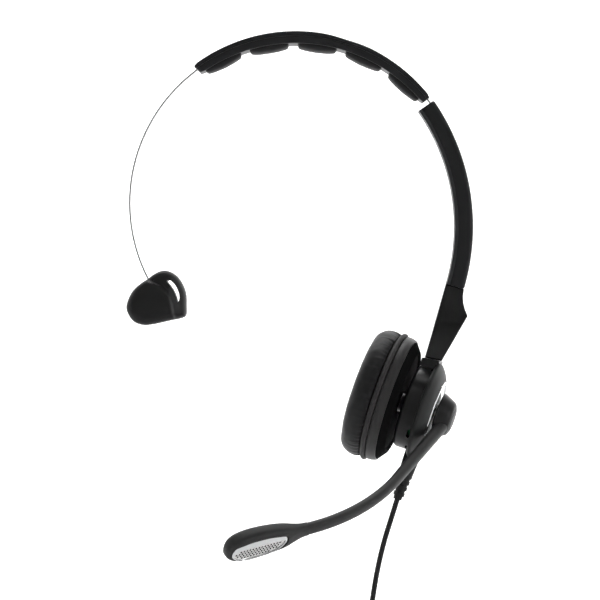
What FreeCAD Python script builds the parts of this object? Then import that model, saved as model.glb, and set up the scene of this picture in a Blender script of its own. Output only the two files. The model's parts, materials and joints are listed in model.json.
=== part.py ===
import FreeCAD, Part
import math
import os

V = FreeCAD.Vector

# Millimetres. +X to the wearer's left, +Y backwards, +Z up.
# Origin: the middle of the crown's underside, where the headset rests on the head.

# Headband
strip_thickness = 0.5
strip_width = 5.0
slide_centre = (-18.5, -76.2)    # centre of the arc that the arm slides along
slide_radius = 90.6
crown_centre = (-0.55, -68.9)
crown_radius = 69.0
crown_half_width = 11.0
pad_count = 5
pad_depth = 2.6

# Arm
arm_inner = 84.6
arm_outer = 92.3
arm_half_width = 7.0
arm_top = 34.8                   # degrees on the slide arc
arm_bottom = -16.6
arm_wall = 1.1

# Hub and cup share one axis, tilted down and towards the mouth
axis_down = 18.9
axis_forward = 9.0
hub_origin = V(53.6, -2.0, -153.4)
barrel_radius = 18.0
disc_radius = 20.6
cup_radius = 27.0
swivel_centre = -12.1            # along the axis
ball_radius = 4.2

# Boom, in the plane through the hub axis
boom_down = 40.0
boom_start = (5.0, 9.5)
boom_bend_start = (45.0, 2.6)
boom_corner = (71.1, -1.9)
boom_bend_length = 26.5
boom_end_angle = -42.6
head_length = 35.0

# Cord
cord_diameter = 2.3
coil_centre = V(15.2, -6.4, -254.5)
coil_radius = 12.65
coil_half_section = 3.6
coil_half_width = 5.5
lead_route = [
    (42.0, -2.2, -190.7), (39.6, -2.2, -198.4), (36.3, -2.2, -208.8),
    (33.4, -2.2, -221.4), (31.3, -2.2, -235.0), (30.2, -2.2, -247.0),
]
tail_route = [
    (21.1, -11.9, -246.0), (24.6, -14.6, -250.5), (26.2, -15.8, -258.0),
    (26.3, -16.0, -267.0), (26.2, -16.0, -277.0),
]


def polar(centre, radius, angle):
    a = math.radians(angle)
    return (centre[0] + radius * math.cos(a), centre[1] + radius * math.sin(a))


def frame(origin, x, y, z):
    return FreeCAD.Placement(FreeCAD.Matrix(
        x.x, y.x, z.x, origin.x, x.y, y.y, z.y, origin.y, x.z, y.z, z.z, origin.z, 0, 0, 0, 1))


def put(shape, placement):
    placed = shape.copy()
    placed.Placement = placement.multiply(placed.Placement)
    return placed


def wire(steps, spot):
    # A step is a point, or a pair (middle, end) for an arc
    edges = []
    here = steps[0]
    for step in steps[1:] + [steps[0]]:
        if isinstance(step[0], tuple):
            edges.append(Part.Arc(spot(here), spot(step[0]), spot(step[1])).toShape())
            here = step[1]
        elif step != here:
            edges.append(Part.makeLine(spot(here), spot(step)))
            here = step
    return Part.Wire(edges)


def slab(steps, low, high):
    # An outline in X and Z, given its width along Y
    face = Part.Face(wire(steps, lambda p: V(p[0], low, p[1])))
    return face.extrude(V(0, high - low, 0))


def sector(centre, r_in, r_out, a_from, a_to, half):
    middle = (a_from + a_to) / 2
    return slab([
        polar(centre, r_out, a_from), (polar(centre, r_out, middle), polar(centre, r_out, a_to)),
        polar(centre, r_in, a_to), (polar(centre, r_in, middle), polar(centre, r_in, a_from)),
    ], -half, half)


def turned(steps):
    # An outline in radius and height, turned about local Z
    face = Part.Face(wire(steps, lambda p: V(p[0], 0, p[1])))
    return face.revolve(V(0, 0, 0), V(0, 0, 1), 360)


def post(radius, low, high, x=0.0, y=0.0):
    return Part.makeCylinder(radius, high - low, V(x, y, low))


def ring_of(shape, count, start=0.0):
    pieces = []
    for i in range(count):
        piece = shape.copy()
        piece.rotate(V(0, 0, 0), V(0, 0, 1), start + i * 360.0 / count)
        pieces.append(piece)
    return pieces


def screw(head_radius, head_height, shaft_radius, length):
    # Head down at z = 0, shaft upwards
    return post(head_radius, 0, head_height).fuse(post(shaft_radius, head_height, length)).removeSplitter()


down = math.radians(axis_down)
forward = math.radians(axis_forward)
outward = V(math.cos(down) * math.cos(forward), -math.sin(forward), -math.sin(down) * math.cos(forward))
upward = V(math.sin(down), 0, math.cos(down))
backward = upward.cross(outward)
hub_frame = frame(hub_origin, backward, upward, outward)

droop = math.radians(boom_down)
boom_out = (backward * -math.cos(droop) - upward * math.sin(droop)).normalize()
boom_frame = frame(hub_origin, boom_out, outward, boom_out.cross(outward))


def on_slide(radius, angle):
    # Local Z points out along the slide radius, local Y is +Y
    x, z = polar(slide_centre, radius, angle)
    a = math.radians(angle)
    out = V(math.cos(a), 0, math.sin(a))
    across = V(0, 1, 0)
    return frame(V(x, 0, z), across.cross(out), across, out)


def spring_strip():
    half = strip_thickness / 2
    left_centre, left_radius = (-0.9, -66.4), 69.3
    joins = [
        (polar(left_centre, left_radius, 211), 211), (polar(left_centre, left_radius, 129), 129),
        (polar(slide_centre, slide_radius, 36), 36), (polar(slide_centre, slide_radius, -6), -6),
    ]
    middles = [
        (polar(left_centre, left_radius, 170), 170), ((7.9, 3.3), 83.5),
        (polar(slide_centre, slide_radius, 15), 15),
    ]

    def shifted(spot, by):
        return polar(spot[0], by, spot[1])

    steps = [shifted(joins[0], half)]
    for middle, join in zip(middles, joins[1:]):
        steps.append((shifted(middle, half), shifted(join, half)))
    steps.append(shifted(joins[-1], -half))
    for middle, join in zip(reversed(middles), reversed(joins[:-1])):
        steps.append((shifted(middle, -half), shifted(join, -half)))
    return slab(steps, -strip_width / 2, strip_width / 2)


def crown_plan(half, end_half):
    steps = [
        (-47, -end_half), ((5, -half), (59, -end_half)),
        (59, end_half), ((5, half), (-47, end_half)),
    ]
    face = Part.Face(wire(steps, lambda p: V(p[0], p[1], -60)))
    return face.extrude(V(0, 0, 80))


def crown_parts(strip):
    body = slab([
        (-43.3, -9.0), ((8.6, 4.6), (55.7, -22.2)), (52.3, -24.5),
        ((crown_centre[0], crown_centre[1] + crown_radius), (-40.0, -12.1)),
    ], -crown_half_width, crown_half_width)
    body = body.common(crown_plan(crown_half_width, 8.0))
    under_strip = slab([
        (-46.0, -13.7), ((7.9, 3.0), (58.0, -27.0)), (58.0, -60.0), (-46.0, -60.0),
    ], -20, 20)
    cover = body.cut(under_strip).cut(strip)
    base = body.common(under_strip).cut(strip)
    return cover, base


def crown_pad(index, base):
    # A soft pad between two notches of the crown's underside
    middle = 116.2 - 16.9 * index
    half = 6.9
    shoulder = crown_radius - 0.9
    lens = slab([
        polar(crown_centre, crown_radius, middle + half),
        (polar(crown_centre, crown_radius, middle), polar(crown_centre, crown_radius, middle - half)),
        polar(crown_centre, shoulder, middle - half + 0.4),
        (polar(crown_centre, crown_radius - pad_depth, middle),
         polar(crown_centre, shoulder, middle + half - 0.4)),
    ], -9.5, 9.5)
    return lens.common(crown_plan(9.5, 7.0)).cut(base)


def arm_cover():
    shell = sector(slide_centre, arm_inner + 1.4, arm_outer, arm_top, arm_bottom, arm_half_width)
    room = sector(slide_centre, arm_inner, arm_outer - arm_wall, arm_top - 0.9, arm_bottom + 0.9,
                  arm_half_width - arm_wall)
    mouth = sector(slide_centre, slide_radius - 0.65, slide_radius + 0.6, arm_top + 2, arm_top - 2, 2.9)
    boss = put(post(2.2, 0, 5.2), on_slide(arm_inner + 1.5, -12))
    hole = put(post(0.9, -1, 3.6), on_slide(arm_inner + 1.5, -12))
    return shell.cut(room).cut(mouth).fuse(boss).cut(hole).removeSplitter()


def arm_inner_cover():
    cover = sector(slide_centre, arm_inner, arm_inner + 1.4, arm_top, arm_bottom, arm_half_width)
    for angle in (25, -12):
        cover = cover.cut(put(post(1.8, -1, 0.8), on_slide(arm_inner, angle)))
        cover = cover.cut(put(post(0.95, -1, 3), on_slide(arm_inner, angle)))
    return cover


def arm_screws():
    return [put(screw(1.7, 0.7, 0.85, 3.8), on_slide(arm_inner + 0.05, angle)) for angle in (25, -12)]


def band_guide():
    block = sector(slide_centre, 88.4, arm_outer - arm_wall - 0.05, arm_top - 1.0, 16, 5.6)
    groove = sector(slide_centre, slide_radius - 0.6, slide_radius + 0.8, arm_top, 10, 2.9)
    pocket = sector(slide_centre, 89.0, slide_radius, 30, 20, 2.2)
    boss = put(post(2.2, 0, 2.4), on_slide(arm_inner + 1.5, 25))
    hole = put(post(0.87, -1, 2.8), on_slide(arm_inner + 1.4, 25))
    return block.cut(groove).cut(pocket).fuse(boss).cut(hole).removeSplitter()


def friction_spring():
    return sector(slide_centre, 89.2, 89.6, 29.5, 20.5, 1.9)


def strip_stop():
    return put(post(1.4, -2.6, -strip_thickness / 2), on_slide(slide_radius, -4)).cut(spring_strip())


link_steps = [
    (62.2, -100.3), (69.9, -102.6), ((69.6, -108.4), (71.4, -113.8)), (60.6, -132.7), (53.5, -131.2),
]


def link_width(extra=0.0):
    # Front taper of the link, in Y and Z
    top, middle, bottom = 7.0 + extra, 8.2 + extra, 5.4 + extra
    steps = [
        (-top, -98.0), (top, -98.0), (middle, -115.4), (bottom, -134.0), (-bottom, -134.0), (-middle, -115.4),
    ]
    face = Part.Face(wire(steps, lambda p: V(40, p[0], p[1])))
    return face.extrude(V(50, 0, 0))


def link_shell():
    whole = slab(link_steps, -10, 10).common(link_width())
    room = slab([
        (58.0, -101.9), (68.0, -104.0), ((67.9, -108.4), (69.4, -113.6)), (60.0, -130.6), (48.0, -129.0),
    ], -10, 10).common(link_width(-1.5))
    neck_way = slab([(54.6, -126), (60.2, -126), (58.8, -136), (54.6, -136)], -2.6, 2.6)
    arm_way = slab([(63.4, -98), (66.6, -98), (66.6, -106), (63.4, -106)], -2.6, 2.6)
    return whole.cut(room).cut(neck_way).cut(arm_way).cut(link_inner_way())


def link_inner_way():
    # Recess for the inner cover, open towards the head
    way = slab([(50.0, -101.6), (63.05, -101.6), (55.18, -130.4), (50.0, -130.4)], -10, 10)
    return way.common(link_width(-1.1))


def link_inner_cover():
    return link_inner_way().common(slab(link_steps, -10, 10))


def link_frame():
    # Steel core from the arm's foot down into the hub
    plate = slab([
        (63.8, -102.2), (66.2, -102.8), (66.6, -113.5), (59.4, -128.0), (57.7, -138.6), (55.0, -138.2),
        (56.0, -127.0), (60.2, -113.5),
    ], -2.2, 2.2)
    return plate.cut(link_inner_way())


def hub_barrel():
    shell = turned([
        (3.05, -7.9), (17.0, -7.9), ((17.7, -7.6), (barrel_radius, -6.9)), (barrel_radius, -0.4),
        (16.4, -0.4), (16.4, -6.3), (3.05, -6.3),
    ])
    way = Part.makeBox(5.2, 9, 5.4, V(-0.9, 13, -5.6))
    return put(shell.cut(way), hub_frame)


def hub_neck():
    block = Part.makeBox(12.0, 9, 7.5, V(-5.2, 14.5, -7.7))
    block = block.cut(post(barrel_radius + 0.02, -10, 5)).cut(post(disc_radius + 0.2, -0.93, 5))
    core_way = put(link_frame(), hub_frame.inverse())
    placed = put(block, hub_frame)
    below_link = slab([(40, -128.45), (70, -134.79), (70, -150), (40, -150)], -10, 10)
    return placed.common(below_link).cut(put(core_way, hub_frame))


def hub_disc():
    return put(turned([
        (barrel_radius + 0.1, -0.9), (20.2, -0.9), ((20.75, -0.4), (disc_radius, 0.4)),
        ((17.9, 2.9), (14.3, 4.7)), (14.3, 3.0), (12.9, 3.0), (12.9, 2.2), (15.4, 2.2), (18.6, -0.3),
        (barrel_radius + 0.1, -0.3),
    ]), hub_frame)


def chrome_ring():
    return put(turned([
        (12.7, 3.05), (14.25, 3.05), (14.25, 4.6), ((13.9, 5.0), (13.4, 5.05)), ((12.9, 4.95), (12.7, 4.6)),
    ]), hub_frame)


def pivot_plate():
    return put(turned([
        (4.55, 3.0), (12.6, 3.0), (12.6, 4.4), ((8.5, 4.85), (4.55, 4.9)),
    ]), hub_frame)


def pivot_bush():
    return put(turned([
        (3.06, -1.0), (5.6, -1.0), (5.6, 2.8), (4.5, 2.8), (4.5, 5.1), (3.06, 5.1),
    ]), hub_frame)


def hub_board():
    board = post(15.2, -2.6, -1.6).cut(post(6.2, -3, 0)).cut(Part.makeBox(6.4, 12, 8, V(-3.2, 9, -6)))
    chips = [
        Part.makeBox(5, 4, 1.2, V(7.2, -2, -3.8)), Part.makeBox(3, 6, 1.5, V(-11.5, -3, -4.1)),
        Part.makeBox(4, 3, 1.4, V(-2, -12.5, -4.0)),
    ]
    for chip in chips:
        board = board.fuse(chip)
    return put(board.removeSplitter(), hub_frame)


def hub_screws():
    one = post(1.6, -5.2, -4.1, 11.4, 8.0).fuse(post(0.8, -4.1, -2.65, 11.4, 8.0))
    return [put(s, hub_frame) for s in ring_of(one.removeSplitter(), 2, 0) + ring_of(one.removeSplitter(), 1, 250)]


def swivel_stud():
    ball = Part.makeSphere(ball_radius, V(0, 0, swivel_centre))
    neck = post(2.4, swivel_centre, -7.9)
    collar = post(4.2, -9.2, -7.9)
    shank = post(3.0, -7.9, -4.2)
    return put(ball.fuse(neck).fuse(collar).fuse(shank).removeSplitter(), hub_frame)


def stud_nut():
    return put(turned([(3.02, -6.25), (5.0, -6.25), (5.0, -4.6), (3.02, -4.6)]), hub_frame)


def swivel_collar():
    # Split nylon shell between the ball and its socket
    centre = V(0, 0, swivel_centre)
    shell = Part.makeSphere(ball_radius + 1.3, centre).cut(Part.makeSphere(ball_radius + 0.3, centre))
    keep = post(8, swivel_centre - 2.6, swivel_centre - 0.1)
    return put(shell.common(keep), hub_frame)


def cup_shell():
    return put(turned([
        (26.6, -16.8), ((26.95, -16.7), (cup_radius, -16.3)), (cup_radius, -13.9),
        ((26.6, -12.4), (25.3, -11.2)), (22.4, -9.7), ((21.6, -9.5), (21.1, -10.0)), (20.9, -11.0),
        (22.4, -11.4), (24.6, -12.8), (25.3, -14.2), (25.3, -16.8),
    ]), hub_frame)


def cup_back():
    # Dark back wall with the socket for the swivel
    wall = turned([
        (4.7, -10.7), (20.8, -10.7), (20.8, -11.05), (22.2, -11.5), (24.3, -12.9), (25.2, -14.3),
        (25.2, -15.2), (23.9, -15.2), (23.9, -14.4), (21.6, -12.4), (8.6, -12.2), (8.6, -15.9), (4.7, -15.9),
    ])
    socket = Part.makeSphere(ball_radius + 1.6, V(0, 0, swivel_centre)).common(post(8, -20, -11.3))
    return put(wall.cut(socket), hub_frame)


def retention_ring():
    return put(turned([
        (22.0, -19.4), (26.8, -19.4), ((27.9, -18.2), (27.3, -17.0)), (25.5, -16.85), (25.2, -16.85),
        (25.2, -15.25), (23.8, -15.25), (23.8, -17.6), (22.0, -17.6),
    ]), hub_frame)


def ear_cushion():
    return put(turned([
        (12.5, -19.45), (26.0, -19.45), ((27.3, -22.2), (26.3, -25.6)), ((24.6, -28.3), (22.0, -29.2)),
        (16.5, -29.2), ((13.6, -28.2), (12.5, -25.6)),
    ]), hub_frame)


def speaker_baffle():
    plate = post(21.9, -18.6, -17.4)
    for radius, count in ((0, 1), (3.6, 6), (7.2, 12)):
        for i in range(count):
            x, y = polar((0, 0), radius, 360.0 * i / count)
            plate = plate.cut(post(0.8, -19, -17, x, y))
    for hole in ring_of(post(0.75, -19, -17, 18.5), 3, 30):
        plate = plate.cut(hole)
    return put(plate, hub_frame)


def driver_frame():
    return put(turned([
        (9.6, -17.3), (14.6, -17.3), (14.6, -16.5), (11.0, -16.4), (10.6, -14.9), (9.0, -14.9), (9.0, -15.4),
        (9.6, -16.2),
    ]), hub_frame)


def driver_magnet():
    inner = turned([(8.9, -14.9), (9.0, -14.9), (9.0, -13.0), (8.9, -13.0)])
    ring = turned([(8.9, -14.8), (10.5, -14.8), (10.5, -12.9), (8.9, -12.9)])
    return put(ring.fuse(inner).removeSplitter(), hub_frame)


def driver_diaphragm():
    return put(turned([
        (0, -16.75), (3.6, -16.75), ((6.8, -16.45), (9.5, -16.9)), (9.5, -17.1), ((6.8, -16.65), (3.6, -16.95)),
        (0, -16.95),
    ]), hub_frame)


def baffle_screws():
    one = post(1.5, -19.35, -18.65, 18.5).fuse(post(0.7, -18.65, -17.45, 18.5)).removeSplitter()
    return [put(s, hub_frame) for s in ring_of(one, 3, 30)]


def boom_cap():
    cap = turned([
        (3.0, 5.7), (9.3, 5.7), ((9.55, 6.2), (9.3, 6.8)), (7.6, 10.6), ((6.9, 11.8), (5.8, 12.3)),
        (5.2, 12.4), (5.2, 11.4), (3.0, 11.4),
    ])
    return put(cap, hub_frame).cut(boom_body(0.02))


def cap_lid():
    return put(turned([
        (0, 11.45), (5.15, 11.45), (5.15, 12.45), ((4.4, 12.68), (3.4, 12.75)), (0, 12.75),
    ]), hub_frame)


def pivot_shaft():
    shaft = post(2.98, -2.4, 11.4)
    groove = turned([(2.3, -1.9), (3.2, -1.9), (3.2, -1.3), (2.3, -1.3)])
    wire_way = post(1.1, -3, 9.0)
    return put(shaft.cut(groove).cut(wire_way), hub_frame).cut(boom_body(0.02))


def shaft_clip():
    clip = turned([(2.32, -1.85), (4.6, -1.85), (4.6, -1.35), (2.32, -1.35)])
    return put(clip.cut(Part.makeBox(3, 8, 2, V(-1.5, 0, -3))), hub_frame)


def boom_outline(root, tip, end):
    # Both sides of the boom's centre line; root and tip are half thicknesses
    turn = math.radians(boom_end_angle)
    first = math.atan2(boom_corner[1] - boom_bend_start[1], boom_corner[0] - boom_bend_start[0])
    bend_end = (boom_corner[0] + boom_bend_length * math.cos(turn),
                boom_corner[1] + boom_bend_length * math.sin(turn))
    last = (bend_end[0] + end * math.cos(turn), bend_end[1] + end * math.sin(turn))
    half_turn = (first - turn) / 2
    radius = boom_bend_length / math.tan(half_turn)
    middle_angle = (first + turn) / 2
    drop = radius / math.cos(half_turn) - radius
    middle = (boom_corner[0] + drop * math.sin(middle_angle), boom_corner[1] - drop * math.cos(middle_angle))

    def side(point, angle, by):
        return (point[0] - by * math.sin(angle), point[1] + by * math.cos(angle))

    return [
        side(boom_start, first, root), side(boom_bend_start, first, tip),
        (side(middle, middle_angle, tip), side(bend_end, turn, tip)), side(last, turn, tip),
        side(last, turn, -tip), side(bend_end, turn, -tip),
        (side(middle, middle_angle, -tip), side(boom_bend_start, first, -tip)), side(boom_start, first, -root),
    ]


def boom_solid(root, tip, half, end):
    face = Part.Face(wire(boom_outline(root, tip, end), lambda p: V(p[0], p[1], -half)))
    return face.extrude(V(0, 0, 2 * half))


def boom_body(grow=0.0):
    body = boom_solid(2.6 + grow, 2.05 + grow, 2.75 + grow, 5.0)
    if grow == 0.0:
        long_edges = [e for e in body.Edges if e.Length > 8]
        body = body.makeFillet(1.5, long_edges)
    return put(body, boom_frame)


def boom_sheath():
    return boom_body().cut(put(boom_solid(1.15, 1.15, 1.15, 6.0), boom_frame))


def boom_core():
    return put(boom_solid(1.1, 1.1, 1.1, 5.0), boom_frame)


def head_frame():
    # Local X along the microphone head, local Y out through its grille
    turn = math.radians(boom_end_angle)
    reach = boom_bend_length + 5.05
    start = V(boom_corner[0] + reach * math.cos(turn), boom_corner[1] + reach * math.sin(turn), 0)
    along = V(math.cos(turn), math.sin(turn), 0)
    grille = V(-math.sin(turn), math.cos(turn), 0)
    return boom_frame.multiply(frame(start, along, grille, V(0, 0, 1)))


def head_block(width_steps, depth_steps):
    front = Part.Face(wire(width_steps, lambda p: V(p[0], -12, p[1]))).extrude(V(0, 24, 0))
    side = Part.Face(wire(depth_steps, lambda p: V(p[0], p[1], -12))).extrude(V(0, 0, 24))
    return front.common(side)


def mic_parts():
    tip = head_length
    outer = head_block(
        [(0, -2.6), ((7, -4.9), (16, -5.9)), ((24, -6.3), (30, -5.6)), ((tip, 0), (30, 5.6)),
         ((24, 6.3), (16, 5.9)), ((7, 4.9), (0, 2.6))],
        [(0, -2.0), ((10, -3.6), (20, -4.3)), ((tip - 1.5, -3.4), (tip, 0.2)), ((tip - 1.2, 3.2), (30, 4.0)),
         (8, 4.0), (0, 2.0)])
    room = head_block(
        [(8.5, -3.4), ((20, -5.3), (29.5, -4.4)), ((32.6, 0), (29.5, 4.4)), ((20, 5.3), (8.5, 3.4))],
        [(8.0, -1.9), ((14, -2.8), (22, -3.0)), (32.0, -2.4), (33.0, 6.0), (8.0, 6.0)])
    opening = head_block(
        [(7.4, 0.1), ((12, -4.0), (20, -5.0)), ((26, -5.3), (30, -4.4)), ((33.0, -0.6), (31.0, 3.0)),
         ((20, 4.2), (8.6, 2.6))],
        [(5, 2.9), (36, 2.9), (36, 6.0), (5, 6.0)])
    inside = head_block(
        [(9.4, 0.1), ((13, -3.0), (20, -3.9)), ((26, -4.2), (29.4, -3.4)), ((31.6, -0.6), (29.8, 1.4)),
         ((20, 2.3), (10.2, 1.6))],
        [(5, 2.0), (36, 2.0), (36, 6.0), (5, 6.0)])
    trimmed = outer.common(opening)
    housing = outer.cut(room).cut(opening)
    bezel = trimmed.cut(inside)
    mesh = inside.common(head_block(
        [(5, -8), (36, -8), (36, 8), (5, 8)], [(5, 2.95), (36, 2.95), (36, 3.5), (5, 3.5)]))
    capsule = Part.makeCylinder(3.0, 3.6, V(21, -2.2, -0.6), V(0, 1, 0))
    foam = Part.makeBox(18, 1.0, 4.6, V(11.6, 1.6, -2.6)).common(room)
    place = head_frame()
    return {name: put(shape, place) for name, shape in (
        ("mic_housing", housing), ("mic_bezel", bezel), ("mic_mesh", mesh), ("mic_capsule", capsule),
        ("mic_foam", foam))}


def temple_pad():
    body = slab([
        (-62.5, -98.3), (-68.4, -103.0), ((-71.4, -109.4), (-67.8, -116.4)), ((-64.3, -117.7), (-60.3, -117.3)),
        (-46.9, -114.3), (-46.3, -113.1), (-46.3, -105.4), ((-48.6, -99.2), (-53.6, -95.1)),
        ((-55.4, -94.7), (-59.8, -96.3)),
    ], -12, 12)
    loop = slab([
        (-54.4, -99.3), ((-51.6, -103.4), (-49.9, -108.0)), (-49.2, -105.2), ((-50.6, -101.4), (-53.2, -98.7)),
    ], -13, 13)
    room = Part.makeBox(6.4, 10.4, 9.4, V(-65.6, -5.2, -109.2))
    mouth = slab([(-65.6, -101), (-60.4, -101), (-60.4, -94), (-65.6, -94)], -3.1, 3.1)
    pin_way = Part.makeCylinder(1.2, 16, V(-62.3, -8, -105.0), V(0, 1, 0))
    return body.cut(loop).cut(room).cut(mouth).cut(pin_way)


def temple_pin():
    return Part.makeCylinder(1.2, 15.6, V(-62.3, -7.8, -105.0), V(0, 1, 0))


def temple_clip(strip):
    block = slab([
        (-63.9, -100.9), (-60.3, -100.9), (-60.3, -105.0), ((-62.3, -107.0), (-64.3, -105.0)),
    ], -4.6, 4.6)
    bore = Part.makeCylinder(1.26, 16, V(-62.3, -8, -105.0), V(0, 1, 0))
    return block.cut(strip).cut(bore)


def cord_relief():
    # A tapered boot with ribs, seated on the hub's underside
    profile = [(0, 17.2), (3.4, 17.2), (3.4, 22.6), (3.15, 26.0)]
    for i in range(4):
        top = 28.0 + 2.6 * i
        radius = 3.05 - 0.22 * i
        profile += [(radius, top), (radius, top + 1.5), (radius - 0.5, top + 1.5), (radius - 0.55, top + 2.4)]
    profile += [(1.8, 39.0), (0, 39.0)]
    hub_space = turned([
        (0, -9), (barrel_radius + 0.02, -9), (barrel_radius + 0.02, -0.92), (20.22, -0.92), (20.8, -0.4),
        (disc_radius + 0.03, 0.43), ((17.93, 2.95), (14.33, 4.8)), (0, 4.8),
    ])
    boot = put(turned(profile), frame(V(0, 0, 1.1), V(0, 0, -1), V(1, 0, 0), V(0, -1, 0)))
    return put(boot.cut(hub_space), hub_frame)


def cord_tube(name, points):
    # Straight runs joined by tangent arcs
    spots = [V(*p) for p in points]
    edges = []
    here = spots[0]
    length = 0.0
    radii = []
    for i in range(1, len(spots) - 1):
        back = spots[i] - spots[i - 1]
        ahead = spots[i + 1] - spots[i]
        turn = back.getAngle(ahead)
        cut = 0.45 * min(back.Length, ahead.Length)
        radii.append(cut / math.tan(turn / 2))
        start = spots[i] - back.normalize() * cut
        end = spots[i] + ahead.normalize() * cut
        inwards = ((start - spots[i]) + (end - spots[i])).normalize()
        reach = radii[-1] / math.cos(turn / 2) - radii[-1]
        edges.append(Part.makeLine(here, start))
        edges.append(Part.Arc(start, spots[i] + inwards * reach, end).toShape())
        length += (start - here).Length + radii[-1] * turn
        here = end
    edges.append(Part.makeLine(here, spots[-1]))
    length += (spots[-1] - here).Length
    section = Part.Wire(Part.makeCircle(cord_diameter / 2, spots[0], spots[1] - spots[0]))
    tube = Part.Wire(edges).makePipeShell([section], True, True)
    expected = math.pi * (cord_diameter / 2) ** 2 * length
    print(name, "length %.1f" % length, "radii", ["%.1f" % r for r in radii],
          "volume %.1f of %.1f" % (tube.Volume, expected))
    return tube


def cord_coil():
    low = coil_radius - coil_half_section
    high = coil_radius + coil_half_section
    half = coil_half_width
    ring = turned([
        (low, -half + 1), (low + 1, -half), (high - 1, -half), (high, -half + 1), (high, half - 1),
        (high - 1, half), (low + 1, half), (low, half - 1),
    ])
    return put(ring, frame(coil_centre, V(1, 0, 0), V(0, 0, 1), V(0, -1, 0)))


def coil_tie():
    # A strap round the coil's left side
    inner_x = coil_half_section + 0.4
    inner_y = coil_half_width + 0.15
    strap = Part.makeBox(2 * inner_x + 2, 2 * inner_y + 2, 6.0, V(-inner_x - 1, -inner_y - 1, -3))
    strap = strap.cut(Part.makeBox(2 * inner_x, 2 * inner_y, 8, V(-inner_x, -inner_y, -4)))
    strap.translate(coil_centre + V(-coil_radius, 0, 0))
    return strap


plug_x, plug_y, plug_top = 26.2, -16.0, -277.0


def plug_boot():
    boot = turned([(0, 0), (1.9, 0), (3.0, -7.0), (0, -7.0)])
    boot.translate(V(plug_x, plug_y, plug_top))
    return boot


def plug_body():
    shell = Part.makeBox(12.0, 7.4, 25.0, V(plug_x - 6.0, plug_y - 3.7, plug_top - 32.0))
    shell = shell.makeFillet(1.5, [e for e in shell.Edges if abs(e.Length - 25.0) < 0.01])
    nose = Part.makeBox(9.0, 4.6, 5.0, V(plug_x - 4.5, plug_y - 2.3, plug_top - 37.0))
    body = shell.fuse(nose)
    for i in range(4):
        slot_x = plug_x - 3.3 + 2.2 * i
        body = body.cut(Part.makeBox(1.2, 2.6, 6.0, V(slot_x - 0.6, plug_y - 1.3, plug_top - 38.0)))
    return body.removeSplitter()


def plug_contacts():
    blades = []
    for i in range(4):
        slot_x = plug_x - 3.3 + 2.2 * i
        blades.append(Part.makeBox(0.8, 0.6, 4.4, V(slot_x - 0.4, plug_y - 0.3, plug_top - 36.8)))
    return blades


def main():
    os.makedirs("parts", exist_ok=True)
    strip = spring_strip()
    cover, base = crown_parts(strip)
    parts = {"spring_strip": strip, "crown_cover": cover, "crown_base": base}
    for i in range(pad_count):
        parts["crown_pad_%d" % (i + 1)] = crown_pad(i, base)
    parts["temple_clip"] = temple_clip(strip)
    parts["cord_lead"] = cord_tube("cord_lead", lead_route)
    parts["cord_tail"] = cord_tube("cord_tail", tail_route)
    parts.update(mic_parts())
    for make in (
            strip_stop, temple_pad, temple_pin, arm_cover, arm_inner_cover, arm_screws, band_guide,
            friction_spring, link_shell, link_inner_cover, link_frame, hub_barrel, hub_neck, hub_disc,
            chrome_ring, pivot_plate, pivot_bush, hub_board, hub_screws, swivel_stud, stud_nut,
            swivel_collar, cup_shell, cup_back, retention_ring, ear_cushion, speaker_baffle, driver_frame,
            driver_magnet, driver_diaphragm, baffle_screws, boom_cap, cap_lid, pivot_shaft, shaft_clip,
            boom_sheath, boom_core, cord_relief, cord_coil, coil_tie, plug_boot, plug_body, plug_contacts):
        parts[make.__name__] = make()
    for name, shape in parts.items():
        if isinstance(shape, list):
            shape = Part.makeCompound(shape)
        print(name, "solids", len(shape.Solids), "valid", shape.isValid(), "volume %.1f" % shape.Volume)
        shape.exportStep("parts/%s.step" % name)


main()
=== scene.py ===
import json
import math
import random

import bmesh
import bpy
from mathutils import Matrix, Vector, noise


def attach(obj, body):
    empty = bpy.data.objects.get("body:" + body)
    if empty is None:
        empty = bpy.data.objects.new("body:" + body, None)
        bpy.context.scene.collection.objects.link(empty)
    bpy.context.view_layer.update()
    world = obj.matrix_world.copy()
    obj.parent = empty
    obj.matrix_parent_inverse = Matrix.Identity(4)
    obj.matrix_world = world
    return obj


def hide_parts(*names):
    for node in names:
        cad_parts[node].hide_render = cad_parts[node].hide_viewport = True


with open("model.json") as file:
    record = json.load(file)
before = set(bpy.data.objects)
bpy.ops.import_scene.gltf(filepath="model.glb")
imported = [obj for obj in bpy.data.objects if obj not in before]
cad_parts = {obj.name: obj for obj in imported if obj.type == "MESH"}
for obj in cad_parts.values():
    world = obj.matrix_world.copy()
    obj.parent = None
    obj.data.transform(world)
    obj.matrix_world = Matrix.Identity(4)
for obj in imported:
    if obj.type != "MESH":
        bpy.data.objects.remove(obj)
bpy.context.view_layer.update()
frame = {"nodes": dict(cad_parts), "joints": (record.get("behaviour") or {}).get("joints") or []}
nodes = frame["nodes"]

# Places and directions taken from the joints
joints = {joint["name"]: joint for joint in frame["joints"]}
slideCentre = Vector(joints["band_length"]["pos_m"])
hubOrigin = Vector(joints["boom_turn"]["pos_m"])
outward = Vector(joints["boom_turn"]["axis"]).normalized()
upward = Vector(joints["cup_swivel"]["axis"]).normalized()
backward = upward.cross(outward)


def basis(origin, x, y, z):
    grid = Matrix((x, y, z)).transposed().to_4x4()
    grid.translation = origin
    return grid


hubFrame = basis(hubOrigin, backward, upward, outward)
boomDroop = math.radians(40.0)
boomOut = (-backward * math.cos(boomDroop) - upward * math.sin(boomDroop)).normalized()
boomFrame = basis(hubOrigin, boomOut, outward, boomOut.cross(outward))


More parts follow.
